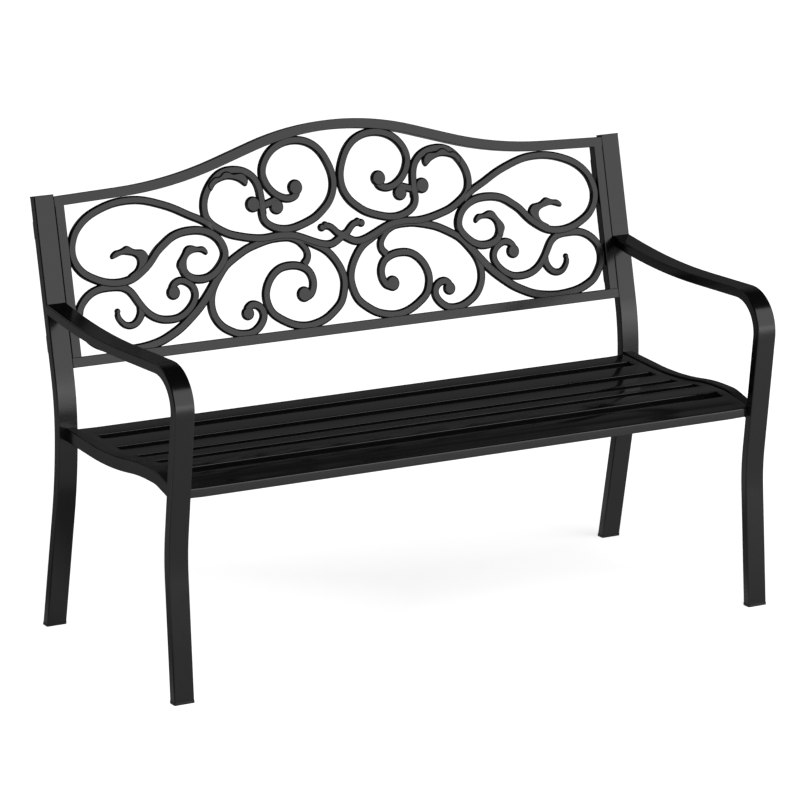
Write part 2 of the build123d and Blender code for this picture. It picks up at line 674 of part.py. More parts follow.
with BuildSketch() as scroll_half:
    for shares, start_share, end_share in bars:
        bar_face(shares, start_share, end_share)
    for across, up, radius_share in boss_shares:
        with Locations((across * cell_wide, up * cell_high)):
            Circle(radius_share * bar_width)
    for shares in leaves:
        with BuildLine() as outline:
            Spline(*on_grid(shares), periodic=True)
        make_face(outline.edges())

casting_inset = (frame_tube - casting_thickness) / 2
with BuildPart() as back_scrollwork:
    with BuildSketch(back_plane.offset(-casting_inset)):
        add(scroll_half.sketch)
        mirror(about=Plane.YZ)
        with Locations((0, crown_up / 2)):
            Rectangle(2 * opening_half_width, crown_up, mode=Mode.INTERSECT)
    extrude(amount=-casting_thickness)
    add(top_rail_fill.part, mode=Mode.SUBTRACT)
back_scrollwork.part.label = "back_scrollwork"
export_step(back_scrollwork.part, "parts/back_scrollwork.step")

# Plates bolted to the backs of the posts and stiles
plate_width = frame_tube + leg_width - 2 * plate_margin
plate_x = (opening_half_width + bench_width / 2) / 2
for height_name, up in (("lower", lower_plate_up), ("upper", upper_plate_up)):
    for side in (-1, 1):
        with BuildPart() as plate:
            with BuildSketch(plate_plane):
                with Locations((side * plate_x, up)):
                    RectangleRounded(plate_width, plate_height, plate_corner_radius)
                with Locations((side * stile_x, up), (side * leg_x, up)):
                    Circle(bolt_diameter / 2 + bolt_clearance, mode=Mode.SUBTRACT)
            extrude(amount=-plate_thickness)
        plate.part.label = f"{side_name(side)}_{height_name}_back_plate"
        export_step(plate.part, f"parts/{side_name(side)}_{height_name}_back_plate.step")

# Bolt planes: on the tube wall, looking into the tube, with the places on it and the grip outside the wall
back_joint = (plate_plane, back_bolt_places, plate_thickness)
seat_joints = [
    (rail_inner_plane(side), [(y, side * z) for y, z in seat_bolt_places], sheet) for side in (-1, 1)
]


def add_bolts(plane, places, grip):
    """Button-head bolts: head on its washer, shank through the grip into the tube."""
    with BuildSketch(plane.offset(-grip - washer_thickness)) as shanks:
        with Locations(*places):
            Circle(bolt_diameter / 2)
    extrude(shanks.sketch, amount=grip + washer_thickness + bolt_reach)
    with BuildSketch(plane.offset(-grip - washer_thickness)) as heads:
        with Locations(*places):
            Circle(bolt_head_diameter / 2)
    extrude(heads.sketch, amount=-bolt_head_height, taper=bolt_head_taper)
    with BuildSketch(plane.offset(-grip - washer_thickness - bolt_head_height)) as sockets:
        with Locations(*places):
            RegularPolygon(hex_socket / 2, 6, major_radius=False)
    extrude(sockets.sketch, amount=hex_socket_depth, mode=Mode.SUBTRACT)


def add_washers(plane, places, grip):
    """Flat washers between the bolt heads and the grip."""
    with BuildSketch(plane.offset(-grip - washer_thickness)) as rings:
        with Locations(*places):
            Circle(washer_diameter / 2)
            Circle(bolt_diameter / 2 + bolt_clearance, mode=Mode.SUBTRACT)
    extrude(rings.sketch, amount=washer_thickness)


def add_rivet_nuts(plane, places):
    """Rivet nuts in the tube wall, bulged behind it."""
    with BuildSketch(plane) as sleeves:
        with Locations(*places):
            Circle(rivet_nut_diameter / 2)
            Circle(bolt_diameter / 2, mode=Mode.SUBTRACT)
    extrude(sleeves.sketch, amount=rivet_nut_length)
    with BuildSketch(plane.offset(tube_wall)) as bulges:
        with Locations(*places):
            Circle(rivet_nut_bulge / 2)
            Circle(bolt_diameter / 2, mode=Mode.SUBTRACT)
    extrude(bulges.sketch, amount=rivet_nut_bulge_length)


for joint_name, joints in (("back", [back_joint]), ("seat", seat_joints)):
    with BuildPart() as bolts:
        for plane, places, grip in joints:
            add_bolts(plane, places, grip)
    with BuildPart() as washers:
        for plane, places, grip in joints:
            add_washers(plane, places, grip)
    with BuildPart() as rivet_nuts:
        for plane, places, grip in joints:
            add_rivet_nuts(plane, places)
    for piece_name, piece in (("bolts", bolts), ("washers", washers), ("rivet_nuts", rivet_nuts)):
        piece.part.label = f"{joint_name}_{piece_name}"
        export_step(piece.part, f"parts/{joint_name}_{piece_name}.step")
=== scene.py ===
from math import cos, pi, radians, sin

import bmesh
import bpy
import numpy as np
from mathutils import Matrix, Vector


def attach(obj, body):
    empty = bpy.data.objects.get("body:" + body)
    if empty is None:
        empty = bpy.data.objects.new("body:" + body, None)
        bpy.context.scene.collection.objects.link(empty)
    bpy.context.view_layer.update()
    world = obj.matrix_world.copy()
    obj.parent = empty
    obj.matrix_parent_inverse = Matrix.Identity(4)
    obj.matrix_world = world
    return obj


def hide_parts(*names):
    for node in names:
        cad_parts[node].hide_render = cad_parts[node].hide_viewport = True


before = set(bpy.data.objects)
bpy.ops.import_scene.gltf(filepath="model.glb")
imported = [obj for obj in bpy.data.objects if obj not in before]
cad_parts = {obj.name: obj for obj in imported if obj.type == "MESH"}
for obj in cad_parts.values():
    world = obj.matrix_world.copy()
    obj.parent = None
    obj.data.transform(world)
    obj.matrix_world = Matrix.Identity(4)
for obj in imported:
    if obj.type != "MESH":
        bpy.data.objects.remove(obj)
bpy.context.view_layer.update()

# A garden bench in black powder coat. Metres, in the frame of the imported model: +Z up, the bench faces -Y.

scene = bpy.context.scene
scene.view_settings.view_transform = "Standard"


# Materials

def new_material(name):
    """Empty node material with one surface shader."""
    material = bpy.data.materials.new(name)
    material.use_nodes = True
    nodes = material.node_tree.nodes
    nodes.clear()
    output = nodes.new("ShaderNodeOutputMaterial")
    shader = nodes.new("ShaderNodeBsdfPrincipled")
    material.node_tree.links.new(shader.outputs["BSDF"], output.inputs["Surface"])
    return material, nodes, material.node_tree.links, shader


def noise(nodes, links, coords, scale, detail=3.0, roughness=0.5):
    """Noise over the object's own coordinates. A larger scale is finer."""
    node = nodes.new("ShaderNodeTexNoise")
    node.inputs["Scale"].default_value = scale
    node.inputs["Detail"].default_value = detail
    node.inputs["Roughness"].default_value = roughness
    links.new(coords.outputs["Object"], node.inputs["Vector"])
    return node


def mapped(nodes, links, source, low, high, from_low=0.3, from_high=0.7):
    """Value that runs from low to high while the source runs from from_low to from_high."""
    node = nodes.new("ShaderNodeMapRange")
    node.inputs["From Min"].default_value = from_low
    node.inputs["From Max"].default_value = from_high
    node.inputs["To Min"].default_value = low
    node.inputs["To Max"].default_value = high
    links.new(source, node.inputs["Value"])
    return node.outputs["Result"]


def joined(nodes, links, operation, first, second):
    """Two values joined by one operation, such as ADD or MAXIMUM."""
    node = nodes.new("ShaderNodeMath")
    node.operation = operation
    links.new(first, node.inputs[0])
    links.new(second, node.inputs[1])
    return node.outputs["Value"]


def colour_ramp(nodes, links, source, stops):
    """Colour that follows the source through stops (place, colour)."""
    node = nodes.new("ShaderNodeValToRGB")
    ramp = node.color_ramp
    while len(ramp.elements) < len(stops):
        ramp.elements.new(0.5)
    for element, (place, colour) in zip(ramp.elements, stops):
        element.position = place
        element.color = (*colour, 1.0)
    links.new(source, node.inputs["Fac"])
    return node.outputs["Color"]


def absolute_parts(nodes, links, source):
    """The parts X, Y and Z of a place, all taken as positive."""
    node = nodes.new("ShaderNodeVectorMath")
    node.operation = "ABSOLUTE"
    links.new(source, node.inputs[0])
    parts = nodes.new("ShaderNodeSeparateXYZ")
    links.new(node.outputs["Vector"], parts.inputs["Vector"])
    return parts


def coat_material(name, dark, light, rough_low, rough_high, grain, grain_height, level):
    """Baked powder coat: fine orange peel, slow waves in the film, and uneven gloss."""
    material, nodes, links, shader = new_material(name)
    coords = nodes.new("ShaderNodeTexCoord")
    slow = noise(nodes, links, coords, 9.0, 4.0, 0.55)
    colour = colour_ramp(nodes, links, slow.outputs["Fac"], [(0.35, dark), (0.68, light)])
    links.new(colour, shader.inputs["Base Color"])
    gloss = noise(nodes, links, coords, 38.0, 3.0, 0.6)
    links.new(mapped(nodes, links, gloss.outputs["Fac"], rough_low, rough_high), shader.inputs["Roughness"])
    peel = noise(nodes, links, coords, grain, 2.0, 0.45)
    bump = nodes.new("ShaderNodeBump")
    bump.inputs["Strength"].default_value = 0.35
    bump.inputs["Distance"].default_value = grain_height
    links.new(peel.outputs["Fac"], bump.inputs["Height"])
    links.new(bump.outputs["Normal"], shader.inputs["Normal"])
    shader.inputs["Specular IOR Level"].default_value = level
    return material


# Name, dark and light tone, lowest and highest roughness, peel scale and height, specular level
coat = coat_material(
    "coat_black", (0.0046, 0.0046, 0.0048), (0.0066, 0.0066, 0.0068), 0.15, 0.20, 900.0, 0.00006, 0.45
)
casting_coat = coat_material(
    "casting_black", (0.0046, 0.0046, 0.0048), (0.0070, 0.0070, 0.0072), 0.18, 0.24, 420.0, 0.0002, 0.45
)
seat_coat = coat_material(
    "seat_black", (0.0040, 0.0040, 0.0044), (0.0058, 0.0058, 0.0062), 0.11, 0.15, 900.0, 0.00006, 0.62
)
plastic = coat_material(
    "plastic_black", (0.0090, 0.0090, 0.0092), (0.0130, 0.0130, 0.0132), 0.42, 0.55, 1600.0, 0.0002, 0.40
)

zinc, nodes, links, shader = new_material("zinc_plate")
coords = nodes.new("ShaderNodeTexCoord")
spangle = noise(nodes, links, coords, 260.0, 4.0, 0.6)
zinc_tones = [(0.3, (0.40, 0.41, 0.42)), (0.7, (0.56, 0.57, 0.58))]
links.new(colour_ramp(nodes, links, spangle.outputs["Fac"], zinc_tones), shader.inputs["Base Color"])
links.new(mapped(nodes, links, spangle.outputs["Fac"], 0.28, 0.42), shader.inputs["Roughness"])
shader.inputs["Metallic"].default_value = 1.0

fasteners = ("bolts", "washers", "rivet_nuts")
for name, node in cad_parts.items():
    if name.endswith(fasteners):
        material = zinc
    elif name.endswith(("glide", "cap")):
        material = plastic
    elif name == "seat_panel":
        material = seat_coat
    elif name == "back_scrollwork":
        material = casting_coat
    else:
        material = coat
    for slot in node.material_slots:
        slot.material = material


# Scrollwork casting

MM = 0.001

# The back leans. Its foot is on the front plane of the back frame, and the casting fills the opening of
# that frame. Lengths without a unit are mm from here to the floor
RAKE = radians(14.3)
BACK_FOOT = Vector((0.0, 185.2, 522.0)) * MM
BACK_UP = Vector((0.0, sin(RAKE), cos(RAKE)))
BACK_FRONT = Vector((0.0, -cos(RAKE), sin(RAKE)))
FRAME_TUBE = 19.0
OPENING_HALF_WIDTH = 576.0

# Sizes of the casting's bars in mm. An edge step is (share of the slope's width, share of the height)
BAR_WIDTH = 17.0
CASTING_HALF_THICKNESS = 4.5
EDGE_SLOPE, LEAF_SLOPE = 3.3, 3.0
EDGE_STEPS = [(0.0, 0.0), (0.10, 0.45), (0.40, 0.72), (1.0, 1.0)]
BAR_STEP = 3.0
LEAF_STEP = 2.0
END_RUN = 17.0
TIP_SHARES = (0.8, 0.6, 0.4, 0.25, 0.12, 0.03)
TIP_HALF_WIDTH = 0.05
BOSS_SIDES = 40
SHARP_ANGLE = radians(28.0)

# The top rail's line, as in the CAD: crown arc, slope, reversed arc, then nearly level to the post
CROWN_UP, CROWN_RADIUS, CROWN_SLOPE = 377.3, 597.0, radians(16.7)
SLOPE_RUN, SHOULDER_RADIUS, SHOULDER_SLOPE = 85.0, 817.0, radians(2.0)
RAIL_END_X, ARC_STEPS = 600.0, 40


def rail_underside():
    """Points (x, up) along the lower edge of the top rail's right half."""
    half = FRAME_TUBE / 2
    points = []
    reach = CROWN_RADIUS - half
    for step in range(ARC_STEPS + 1):
        turn = CROWN_SLOPE * step / ARC_STEPS
        points.append((reach * sin(turn), CROWN_UP - CROWN_RADIUS + reach * cos(turn)))
    start_x = CROWN_RADIUS * sin(CROWN_SLOPE) + SLOPE_RUN * cos(CROWN_SLOPE)
    start_up = CROWN_UP - CROWN_RADIUS * (1 - cos(CROWN_SLOPE)) - SLOPE_RUN * sin(CROWN_SLOPE)
    centre = (start_x + SHOULDER_RADIUS * sin(CROWN_SLOPE), start_up + SHOULDER_RADIUS * cos(CROWN_SLOPE))
    reach = SHOULDER_RADIUS + half
    for step in range(ARC_STEPS + 1):
        turn = CROWN_SLOPE + (SHOULDER_SLOPE - CROWN_SLOPE) * step / ARC_STEPS
        points.append((centre[0] - reach * sin(turn), centre[1] - reach * cos(turn)))
    last = points[-1]
    fall = (RAIL_END_X - last[0]) * sin(SHOULDER_SLOPE) / cos(SHOULDER_SLOPE)
    points.append((RAIL_END_X, last[1] - fall))
    return points


RAIL_UNDERSIDE = rail_underside()


def rail_under(x):
    """Height up the back of the top rail's lower edge at a place across."""
    x = abs(x)
    for (x0, up0), (x1, up1) in zip(RAIL_UNDERSIDE, RAIL_UNDERSIDE[1:]):
        if x <= x1:
            return up0 + (up1 - up0) * max(x - x0, 0.0) / (x1 - x0)
    return RAIL_UNDERSIDE[-1][1]


# The pattern is drawn on cells that fill half the opening, as high as it is at the stile's outer side
OPENING_HEIGHT = rail_under(OPENING_HALF_WIDTH + FRAME_TUBE)
CELLS_ACROSS, CELLS_UP = 5.76, 2.795
CELL_WIDE = OPENING_HALF_WIDTH / CELLS_ACROSS
CELL_HIGH = OPENING_HEIGHT / CELLS_UP

# Centre lines of the right half's bars, as (across, up) in pattern cells
crown_scroll_shares = [
    (0.880, 2.620), (0.905, 2.530), (0.980, 2.482), (1.075, 2.466), (1.200, 2.492), (1.340, 2.570),
    (1.450, 2.675), (1.532, 2.815), (1.573, 2.970), (1.548, 3.120), (1.465, 3.270), (1.330, 3.405),
    (1.120, 3.510), (0.890, 3.550), (0.660, 3.525), (0.460, 3.440), (0.285, 3.280), (0.165, 3.070),
    (0.095, 2.860), (0.083, 2.680), (0.115, 2.520), (0.190, 2.370), (0.295, 2.247), (0.400, 2.160),
    (0.500, 2.088), (0.790, 1.967), (1.000, 1.912), (1.180, 1.896), (1.380, 1.930), (1.540, 2.005),
    (1.632, 2.100), (1.663, 2.220), (1.650, 2.400),
]
shoulder_scroll_shares = [
    (1.648, 2.220), (1.652, 2.420), (1.662, 2.600), (1.680, 2.730), (1.740, 2.880), (1.845, 2.995),
    (2.000, 3.078), (2.200, 3.113), (2.400, 3.095), (2.530, 3.035), (2.650, 2.935), (2.765, 2.790),
    (2.842, 2.640), (2.874, 2.500), (2.873, 2.380), (2.830, 2.240), (2.720, 2.115), (2.590, 2.025),
    (2.400, 1.925), (2.200, 1.863), (2.000, 1.815), (1.800, 1.783), (1.650, 1.775), (1.500, 1.785),
    (1.200, 1.785), (1.000, 1.745), (0.800, 1.668), (0.600, 1.585), (0.400, 1.525), (0.250, 1.525),
    (0.120, 1.585), (-0.020, 1.670),
]
heart_scroll_shares = [
    (0.930, 0.580), (0.830, 0.625), (0.768, 0.720), (0.743, 0.850), (0.770, 0.980), (0.840, 1.085),
    (0.950, 1.155), (1.080, 1.195), (1.220, 1.205), (1.400, 1.180), (1.550, 1.098), (1.660, 0.985),
    (1.740, 0.845), (1.778, 0.670), (1.750, 0.500), (1.680, 0.360), (1.540, 0.240), (1.350, 0.130),
    (1.150, 0.060), (0.950, 0.038), (0.750, 0.065), (0.540, 0.135), (0.345, 0.260), (0.190, 0.405),
    (0.105, 0.600), (0.073, 0.800), (0.100, 0.970), (0.170, 1.130), (0.270, 1.280), (0.420, 1.430),
    (0.600, 1.535), (0.800, 1.635), (1.000, 1.705), (1.200, 1.743), (1.500, 1.747),
]
side_scroll_shares = [
    (1.000, 1.705), (1.200, 1.743), (1.500, 1.747), (1.700, 1.715), (1.900, 1.665), (2.050, 1.620),
    (2.200, 1.553), (2.400, 1.445), (2.550, 1.345), (2.700, 1.185), (2.830, 1.015), (2.910, 0.855),
    (2.945, 0.680), (2.930, 0.500), (2.865, 0.345), (2.755, 0.215), (2.600, 0.115), (2.450, 0.052),
    (2.300, 0.028), (2.140, 0.045), (2.010, 0.118), (1.910, 0.230), (1.872, 0.350), (1.915, 0.475),
    (2.020, 0.550), (2.130, 0.550), (2.205, 0.480),
]
hook_shares = [
    (1.120, 1.700), (0.980, 1.640), (0.870, 1.540), (0.800, 1.415), (0.815, 1.300), (0.900, 1.205),
]
tendril_shares = [
    (-0.020, 1.665), (0.100, 1.710), (0.180, 1.790), (0.270, 1.855), (0.365, 1.865), (0.430, 1.830),
]
bow_shares = [(1.300, 2.490), (1.418, 2.447), (1.542, 2.409), (1.686, 2.385), (1.840, 2.425)]
outer_arm_shares = [
    (2.720, 2.065), (2.850, 2.175), (3.000, 2.265), (3.200, 2.360), (3.400, 2.465), (3.600, 2.560),
    (3.800, 2.635), (4.000, 2.700), (4.200, 2.745), (4.450, 2.762), (4.700, 2.745), (4.900, 2.702),
    (5.100, 2.635), (5.300, 2.540), (5.470, 2.410), (5.580, 2.280), (5.655, 2.120), (5.690, 1.950),
    (5.670, 1.780),
]
outer_ring_shares = [
    (5.655, 2.120), (5.690, 1.950), (5.670, 1.780), (5.600, 1.630), (5.500, 1.515), (5.330, 1.405),
    (5.120, 1.315), (4.900, 1.270), (4.680, 1.275), (4.500, 1.320), (4.330, 1.415), (4.180, 1.525),
    (4.050, 1.655), (3.950, 1.765), (3.800, 1.880), (3.620, 1.995), (3.420, 2.058), (3.200, 2.075),
    (3.000, 2.055), (2.820, 1.990), (2.670, 1.875), (2.580, 1.730), (2.552, 1.580), (2.600, 1.450),
    (2.690, 1.340), (2.820, 1.230), (2.970, 1.165), (3.150, 1.155), (3.300, 1.193), (3.410, 1.280),
    (3.460, 1.400),
]
lower_arm_shares = [
    (3.745, 0.990), (3.685, 1.105), (3.550, 1.170), (3.420, 1.137), (3.320, 1.060), (3.262, 0.950),
    (3.265, 0.840), (3.320, 0.730), (3.410, 0.630), (3.520, 0.550), (3.660, 0.490), (3.820, 0.475),
    (3.985, 0.492), (4.140, 0.548), (4.275, 0.645), (4.395, 0.785), (4.485, 0.925), (4.575, 1.060),
    (4.690, 1.150), (4.820, 1.190), (5.000, 1.202), (5.200, 1.193), (5.400, 1.128), (5.550, 1.015),
    (5.650, 0.880), (5.690, 0.720), (5.670, 0.550),
]
lower_ring_shares = [
    (5.650, 0.880), (5.690, 0.720), (5.670, 0.550), (5.580, 0.385), (5.470, 0.250), (5.300, 0.148),
    (5.100, 0.075), (4.900, 0.038), (4.650, 0.018), (4.400, 0.032), (4.200, 0.065), (4.000, 0.122),
    (3.850, 0.187), (3.650, 0.290), (3.450, 0.430), (3.250, 0.590), (3.080, 0.755), (2.960, 0.890),
    (2.860, 1.010), (2.780, 1.110),
]
sprig_shares = [
    (4.400, 0.800), (4.412, 0.668), (4.482, 0.545), (4.570, 0.475), (4.670, 0.455), (4.770, 0.482),
    (4.850, 0.560), (4.895, 0.650), (4.890, 0.740),
]

# Bars: centre line, width at start and end as shares of the bar width, lift of the face in mm, rounded tip.
# The lifts differ, so that no two joined bars share a face. Where they differ much, the join is a small step
bars = [
    (crown_scroll_shares, 1.0, 1.0, 1.70, False),
    (shoulder_scroll_shares, 1.0, 1.0, 0.85, False),
    (heart_scroll_shares, 1.0, 1.0, 0.0, False),
    (side_scroll_shares, 1.0, 1.0, 0.02, False),
    (hook_shares, 0.7, 1.0, 0.04, False),
    (tendril_shares, 0.95, 0.85, 0.45, True),
    (bow_shares, 1.0, 1.0, 0.40, False),
    (outer_arm_shares, 0.93, 1.0, 2.10, False),
    (outer_ring_shares, 1.0, 1.05, 2.12, False),
    (lower_arm_shares, 0.93, 1.0, 0.60, False),
    (lower_ring_shares, 1.0, 1.12, 0.62, False),
    (sprig_shares, 1.1, 0.65, 0.10, True),
]

# Round bosses: across, up, radius as a share of the bar width, lift of the face in mm
bosses = [
    (0.905, 2.660, 0.92, 1.74),
    (0.965, 0.635, 0.90, 0.06),
    (2.200, 0.405, 0.78, 0.08),
    (3.705, 0.965, 0.83, 0.66),
    (1.840, 2.430, 0.92, 0.90),
    (1.345, 2.335, 0.88, 0.44),
    (0.430, 1.850, 0.48, 0.48),
    (0.352, 1.893, 0.42, 0.50),
    (4.890, 0.745, 0.34, 0.12),
]

# Leaf outlines in pattern cells, then each leaf's lift and the height of its border's foot in mm
shoulder_leaf_shares = [
    (1.900, 2.900), (1.935, 2.985), (2.000, 3.040), (2.100, 3.055), (2.200, 3.050), (2.280, 3.090),
    (2.360, 3.105), (2.430, 3.080), (2.500, 3.025), (2.580, 3.025), (2.680, 2.970), (2.760, 2.850),
    (2.700, 2.760), (2.620, 2.840), (2.500, 2.910), (2.350, 2.940), (2.200, 2.920), (2.080, 2.865),
    (2.000, 2.800), (1.960, 2.780), (1.925, 2.810),
]
outer_leaf_shares = [
    (3.365, 1.450), (3.330, 1.570), (3.250, 1.635), (3.150, 1.655), (3.050, 1.645), (2.990, 1.610),
    (2.940, 1.585), (2.900, 1.620), (2.920, 1.700), (3.000, 1.765), (3.110, 1.768), (3.200, 1.800),
    (3.280, 1.810), (3.370, 1.775), (3.430, 1.690), (3.500, 1.600), (3.560, 1.520), (3.580, 1.440),
    (3.540, 1.340), (3.505, 1.270), (3.400, 1.280),
]
branch_leaf_shares = [
    (4.140, 1.710), (4.170, 1.770), (4.230, 1.825), (4.320, 1.845), (4.430, 1.865), (4.500, 1.910),
    (4.570, 1.935), (4.640, 1.910), (4.720, 1.880), (4.810, 1.868), (4.880, 1.825), (4.920, 1.760),
    (4.900, 1.715), (4.850, 1.715), (4.760, 1.745), (4.660, 1.767), (4.550, 1.750), (4.450, 1.720),
    (4.392, 1.670), (4.380, 1.600), (4.410, 1.520), (4.490, 1.448), (4.600, 1.356), (4.580, 1.300),
    (4.400, 1.400), (4.200, 1.560),
]
leaves = [
    (shoulder_leaf_shares, 2.75, 5.15),
    (outer_leaf_shares, 1.95, 2.6),
    (branch_leaf_shares, 2.16, 2.6),
]


def on_back(x, up, out):
    """Place in the frame: x, up the slope of the back, and out from the casting's middle plane, in mm."""
    depth = out - FRAME_TUBE / 2
    return BACK_FOOT + Vector((x * MM, 0.0, 0.0)) + BACK_UP * up * MM + BACK_FRONT * depth * MM


def held(x, up):
    """Keep a place of the casting inside the opening of the back frame."""
    x = max(-OPENING_HALF_WIDTH, min(OPENING_HALF_WIDTH, x))
    return x, max(0.0, min(rail_under(x), up))


def smooth_line(points, closed=False):
    """Function of length for a cubic spline through the points, and its whole length."""
    places = np.array(points + points[:1] if closed else points)
    knots = np.concatenate([[0.0], np.cumsum(np.hypot(*np.diff(places, axis=0).T))])
    gaps = np.diff(knots)
    count = len(places)
    system = np.zeros((count, count))
    right_side = np.zeros((count, 2))
    slopes = np.diff(places, axis=0) / gaps[:, None]
    for i in range(1, count - 1):
        system[i, i - 1:i + 2] = gaps[i - 1], 2 * (gaps[i - 1] + gaps[i]), gaps[i]
        right_side[i] = 6 * (slopes[i] - slopes[i - 1])
    if closed:
        system[0, 0], system[0, -1] = 1.0, -1.0
        system[-1, 0], system[-1, 1] = 2 * (gaps[0] + gaps[-1]), gaps[0]
        system[-1, -2] = gaps[-1]
        right_side[-1] = 6 * (slopes[0] - slopes[-1])
    else:
        system[0, 0] = system[-1, -1] = 1.0
    bends = np.linalg.solve(system, right_side)

    def at(length):
        i = int(min(max(np.searchsorted(knots, length) - 1, 0), count - 2))
        gap, here, there = gaps[i], length - knots[i], knots[i + 1] - length
        return (
            (bends[i] * there ** 3 + bends[i + 1] * here ** 3) / (6 * gap)
            + (places[i] / gap - bends[i] * gap / 6) * there
            + (places[i + 1] / gap - bends[i + 1] * gap / 6) * here
        )

    return at, knots[-1]


def section(half_width, lift):
    """Points (sideways, out) round a bar's section: flat faces, sloped edges, and a less raised back."""
    edge = min(EDGE_SLOPE, half_width * 0.8)
    top, bottom = CASTING_HALF_THICKNESS + lift, CASTING_HALF_THICKNESS + lift / 4
    front = [(half_width - inset * edge, top * out) for inset, out in EDGE_STEPS]
    front += [(-u, v) for u, v in reversed(front)]
    back = [(u, -v * bottom / top) for u, v in reversed(front)][1:-1]
    return front + back


def add_skin(bm, rings, mirror):
    """Faces between rings of vertices, with a cap at each end. Mirrored ones are turned round."""
    for ring, following in zip(rings, rings[1:]):
        for i in range(len(ring)):
            j = (i + 1) % len(ring)
            corners = (ring[i], ring[j], following[j], following[i])
            bm.faces.new(corners if mirror > 0 else corners[::-1])
    bm.faces.new(rings[0][::-1] if mirror > 0 else rings[0])
    bm.faces.new(rings[-1] if mirror > 0 else rings[-1][::-1])


def add_bar(bm, shares, start_share, end_share, lift, round_tip, mirror):
    """Bar along a smooth line through its points, with a width that may change and a plain or round tip."""
    at, whole = smooth_line([(across * CELL_WIDE, up * CELL_HIGH) for across, up in shares])
    steps = max(int(whole / BAR_STEP), 4)
    lengths = [whole * i / steps for i in range(steps + 1)]
    halves = [
        BAR_WIDTH * (start_share + (end_share - start_share) * length / whole) / 2 for length in lengths
    ]
    if round_tip:
        half = halves[-1]
        tip = [whole - half * share for share in TIP_SHARES] + [whole]
        lengths = [length for length in lengths if length < tip[0] - 1.0] + tip
        halves = halves[:len(lengths) - len(tip)]
        halves += [half * (1 - (1 - share) ** 2) ** 0.5 for share in TIP_SHARES] + [TIP_HALF_WIDTH]
    rings = []
    for length, half in zip(lengths, halves):
        middle = at(length)
        # The line's direction, taken over 1 mm
        run = at(min(length + 0.5, whole)) - at(max(length - 0.5, 0.0))
        run = run / np.linalg.norm(run)
        # A raised bar comes down to the casting's level at its ends, where it runs into other bars
        rise = min(length / END_RUN, (whole - length) / END_RUN, 1.0)
        ring = []
        for u, v in section(half, lift * rise):
            x, up = held(middle[0] - run[1] * u, middle[1] + run[0] * u)
            ring.append(bm.verts.new(on_back(mirror * x, up, v)))
        rings.append(ring)
    add_skin(bm, rings, mirror)


def add_boss(bm, across, up, radius, lift, mirror):
    """Round boss with the same sloped edge as the bars."""
    top, bottom = CASTING_HALF_THICKNESS + lift, CASTING_HALF_THICKNESS + lift / 4
    front = [(radius - inset * EDGE_SLOPE, top * out) for inset, out in EDGE_STEPS]
    back = [(r, -out * bottom / top) for r, out in reversed(front[1:])]
    rings = []
    for r, out in back + front:
        ring = []
        for step in range(BOSS_SIDES):
            turn = 2 * pi * step / BOSS_SIDES
            x, rise = held(across * CELL_WIDE + r * cos(turn), up * CELL_HIGH + r * sin(turn))
            ring.append(bm.verts.new(on_back(mirror * x, rise, out)))
        rings.append(ring)
    add_skin(bm, rings, mirror)


def add_leaf(bm, shares, lift, foot, mirror):
    """Leaf with a wavy edge. Its sloped border starts at the foot's height, and its face is flat."""
    at, whole = smooth_line([(across * CELL_WIDE, up * CELL_HIGH) for across, up in shares], closed=True)
    count = int(whole / LEAF_STEP)
    outline = [at(whole * i / count) for i in range(count)]
    area = sum(a[0] * b[1] - b[0] * a[1] for a, b in zip(outline, outline[1:] + outline[:1]))
    if area < 0:
        outline.reverse()
    rings = []
    top = CASTING_HALF_THICKNESS + lift
    for out, inset in ((-CASTING_HALF_THICKNESS, 1.0), (0.0, 0.0), (foot, 0.05), (top, 1.0)):
        ring = []
        for i, point in enumerate(outline):
            run = outline[(i + 1) % count] - outline[i - 1]
            run = run / np.linalg.norm(run)
            x, up = held(point[0] - run[1] * inset * LEAF_SLOPE, point[1] + run[0] * inset * LEAF_SLOPE)
            ring.append(bm.verts.new(on_back(mirror * x, up, out)))
        rings.append(ring)
    add_skin(bm, rings, mirror)


def add_piece(name, bm, material):
    """Object with smooth shading, made from a bmesh, which is freed."""
    mesh = bpy.data.meshes.new(name)
    bm.to_mesh(mesh)
    bm.free()
    for polygon in mesh.polygons:
        polygon.use_smooth = True
    mesh.materials.append(material)
    piece = bpy.data.objects.new(name, mesh)
    scene.collection.objects.link(piece)
    return piece


bm = bmesh.new()
for mirror in (-1, 1):
    for shares, start_share, end_share, lift, round_tip in bars:
        add_bar(bm, shares, start_share, end_share, lift, round_tip, mirror)
    for across, up, radius_share, lift in bosses:
        add_boss(bm, across, up, radius_share * BAR_WIDTH, lift, mirror)
    for shares, lift, foot in leaves:
        add_leaf(bm, shares, lift, foot, mirror)
bmesh.ops.recalc_face_normals(bm, faces=bm.faces)
for edge in bm.edges:
    if len(edge.link_faces) == 2 and edge.calc_face_angle(0.0) > SHARP_ANGLE:
        edge.smooth = False
scrollwork = add_piece("scrollwork_casting", bm, casting_coat)
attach(scrollwork, "root")
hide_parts("back_scrollwork")


# Seat panel

# Side view of the sheet's top, as bend corners (y, z) and radii, and its slots, as in the CAD
SEAT_LINE = [(162.39, 393.2), (-8.2, 385.0), (-128.1, 402.4), (-197.0, 402.4), (-272.26, 388.0)]
SEAT_RADII = [765.0, 500.0, 110.0]
SEAT_REAR_Y, SEAT_NOSE_Y = SEAT_LINE[0][0], SEAT_LINE[-1][0]
SEAT_HALF_WIDTH, NOSE_HALF_WIDTH, NOTCH_Y = 600.0, 594.0, -264.39
SHEET = 2.0
SLOT_MIDDLES = [105.4, 28.9, -47.6, -124.1, -200.6]
SLOT_HALF_WIDTH, SLOT_HALF_LENGTH, SLOT_CORNER = 12.5, 580.0, 4.0

